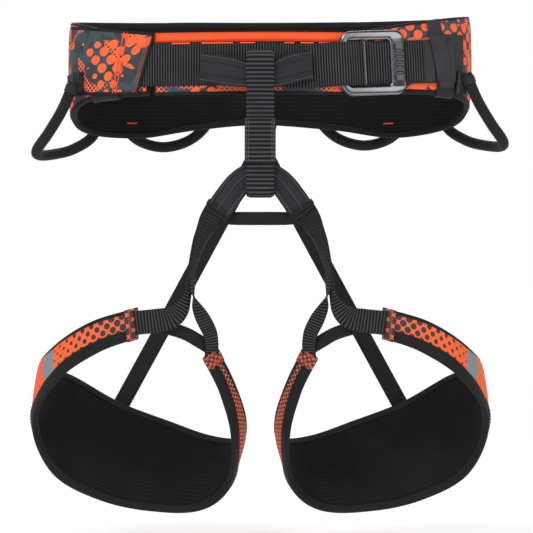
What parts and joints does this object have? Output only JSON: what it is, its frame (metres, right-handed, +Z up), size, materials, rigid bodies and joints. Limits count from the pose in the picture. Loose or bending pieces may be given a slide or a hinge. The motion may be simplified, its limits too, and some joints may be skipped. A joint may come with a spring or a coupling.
{
  "type": "climbing harness",
  "caption": "Sit harness: padded waist belt with side buckle, belay loop on tie-in loops, and open leg loops hung on webbing and rear elastic risers, with tube gear loops.",
  "frame": {"origin": "middle of the outer face of the patch on the back of the waist belt, on the leg loops' plane of symmetry", "axes": "+Z up towards the wearer's head, -Y towards the wearer's front, +X towards the wearer's left, which is the buckle side"},
  "size_m": [0.4918, 0.2249, 0.5218],
  "materials": {
    "black_webbing": "flat woven nylon webbing, cross ribs",
    "printed_fabric": "printed ripstop, matt",
    "orange_trim": "soft rolled knit, matt",
    "mesh_fabric": "open spacer mesh, matt",
    "foam": "closed-cell foam, matt",
    "edge_tape": "folded binding tape, matt",
    "wear_sleeve": "dense wear-resistant weave, slight sheen",
    "elastic": "woven elastic, matt",
    "aluminium": "polished forging",
    "black_plastic": "moulded nylon, satin"
  },
  "bodies": {
    "waist": {"waist_lining": "mesh_fabric", "waist_foam": "foam", "waist_face": "printed_fabric", "waist_binding": "edge_tape", "front_tongue": "printed_fabric", "front_trim": "orange_trim", "waist_webbing": "black_webbing", "buckle_anchor_webbing": "black_webbing", "left_cover_panel": "printed_fabric", "front_strap": "black_webbing", "strap_keeper": "elastic", "buckle_frame": "aluminium", "upper_tie_in_loop": "black_webbing", "upper_tie_in_sleeve_left": "wear_sleeve", "upper_tie_in_sleeve_right": "wear_sleeve", "left_gear_loop_anchor": "black_webbing", "right_gear_loop_anchor": "black_webbing", "left_riser_top": "elastic", "right_riser_top": "elastic", "back_patch": "wear_sleeve", "haul_loop_tab": "black_webbing"},
    "strap_tail": {"strap_tail": "black_webbing"},
    "locking_bar": {"buckle_locking_bar": "aluminium"},
    "lower_harness": {"belay_loop": "black_webbing", "belay_loop_cover": "wear_sleeve", "lower_tie_in_loop": "black_webbing", "lower_tie_in_sleeve_left": "wear_sleeve", "lower_tie_in_sleeve_right": "wear_sleeve", "bridge_strap": "black_webbing", "left_leg_riser_webbing": "black_webbing", "right_leg_riser_webbing": "black_webbing"},
    "haul_loop": {"haul_loop": "black_webbing"},
    "left_leg": {"left_leg_lining": "mesh_fabric", "left_leg_foam": "foam", "left_leg_face": "printed_fabric", "left_leg_binding": "edge_tape", "left_leg_lateral_strap": "black_webbing", "left_leg_medial_strap": "black_webbing", "left_leg_cross_strap": "elastic", "left_rear_riser": "elastic", "left_riser_adjuster": "black_plastic"},
    "left_front_gear_loop": {"left_front_gear_loop": "black_plastic"},
    "left_rear_gear_loop": {"left_rear_gear_loop": "black_plastic"},
    "right_leg": {"right_leg_lining": "mesh_fabric", "right_leg_foam": "foam", "right_leg_face": "printed_fabric", "right_leg_binding": "edge_tape", "right_leg_lateral_strap": "black_webbing", "right_leg_medial_strap": "black_webbing", "right_leg_cross_strap": "elastic", "right_rear_riser": "elastic", "right_riser_adjuster": "black_plastic"},
    "right_front_gear_loop": {"right_front_gear_loop": "black_plastic"},
    "right_rear_gear_loop": {"right_rear_gear_loop": "black_plastic"}
  },
  "joints": [
    {"name": "tie_in_swing", "type": "hinge", "parent": "waist", "child": "lower_harness", "pos_m": [0, -0.1982, -0.033], "axis": [-1, 0, 0], "range_deg": [0, 14]},
    {"name": "left_leg_swing", "type": "hinge", "parent": "lower_harness", "child": "left_leg", "pos_m": [-0.0705, -0.1842, -0.253], "axis": [-1, 0, 0], "range_deg": [0, 20]},
    {"name": "right_leg_swing", "type": "hinge", "parent": "lower_harness", "child": "right_leg", "pos_m": [0.0705, -0.1842, -0.253], "axis": [-1, 0, 0], "range_deg": [0, 20]},
    {"name": "strap_tail_travel", "type": "hinge", "parent": "waist", "child": "strap_tail", "pos_m": [0.0098, 0.2714, -0.025], "axis": [0, 0, 1], "range_deg": [-2.3, 0]},
    {"name": "locking_bar_travel", "type": "slide", "parent": "waist", "child": "locking_bar", "axis": [0.9986, 0, 0.0523], "range_m": [0, 0.004]},
    {"name": "haul_loop_flip", "type": "hinge", "parent": "waist", "child": "haul_loop", "pos_m": [0, 0.0072, -0.0269], "axis": [1, 0, 0], "range_deg": [0, 60]},
    {"name": "left_front_gear_flip", "type": "hinge", "parent": "waist", "child": "left_front_gear_loop", "pos_m": [-0.1886, -0.1386, -0.047], "axis": [0.1693, 0.9773, -0.1274], "range_deg": [0, 60]},
    {"name": "left_rear_gear_flip", "type": "hinge", "parent": "waist", "child": "left_rear_gear_loop", "pos_m": [-0.148, -0.0222, -0.061], "axis": [0.9724, 0.2334, 0], "range_deg": [0, 60]},
    {"name": "right_front_gear_flip", "type": "hinge", "parent": "waist", "child": "right_front_gear_loop", "pos_m": [0.2082, -0.1386, -0.038], "axis": [0.1693, -0.9773, 0.1274], "range_deg": [0, 60]},
    {"name": "right_rear_gear_flip", "type": "hinge", "parent": "waist", "child": "right_rear_gear_loop", "pos_m": [0.155, -0.0182, -0.059], "axis": [0.9724, -0.2334, 0], "range_deg": [0, 60]}
  ]
}
